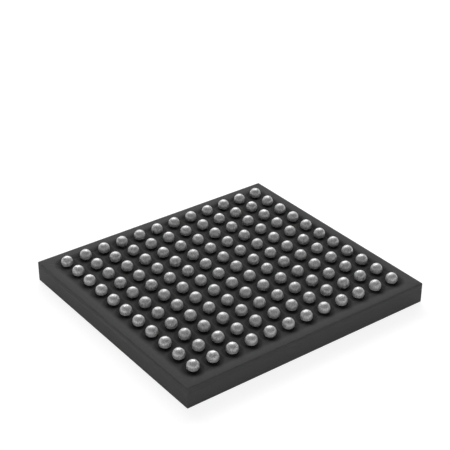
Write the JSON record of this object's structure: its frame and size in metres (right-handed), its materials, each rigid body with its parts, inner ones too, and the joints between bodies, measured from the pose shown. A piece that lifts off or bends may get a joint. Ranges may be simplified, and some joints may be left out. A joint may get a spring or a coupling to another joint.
{
  "type": "bga chip",
  "caption": "Flat square-cornered chip package, dark molded body flush with its substrate, with a full grid of solder balls facing up.",
  "frame": {"origin": "centre of the marking face of the mold, which the package rests on, ball side up", "axes": "+X across the twelve rows of balls, from row A to row M, along the package's 13 mm side; +Y along each row of eleven balls, along the 12 mm side; +Z from the marking face up to the ball tips"},
  "size_m": [0.013, 0.012, 0.0014],
  "materials": {
    "mold": "fine matte, dark grey filled epoxy",
    "solder_mask": "matte black solder mask",
    "laminate": "sawn edge of a black glass and resin laminate",
    "copper": "plated copper",
    "gold_wire": "drawn gold",
    "silicon": "polished silicon",
    "attach_film": "silver-filled epoxy",
    "solder": "satin tin-silver-copper solder, faintly mottled"
  },
  "bodies": {
    "root": {"mold_cap": "mold", "die": "silicon", "die_attach": "attach_film", "die_side_copper": "copper", "die_side_mask": "solder_mask", "substrate_core": "laminate", "vias": "copper", "ball_side_copper": "copper", "ball_side_mask": "solder_mask", "wires_east": "gold_wire", "wires_north": "gold_wire", "wires_west": "gold_wire", "wires_south": "gold_wire", "balls_row_a": "solder", "balls_row_b": "solder", "balls_row_c": "solder", "balls_row_d": "solder", "balls_row_e": "solder", "balls_row_f": "solder", "balls_row_g": "solder", "balls_row_h": "solder", "balls_row_j": "solder", "balls_row_k": "solder", "balls_row_l": "solder", "balls_row_m": "solder"}
  },
  "joints": []
}
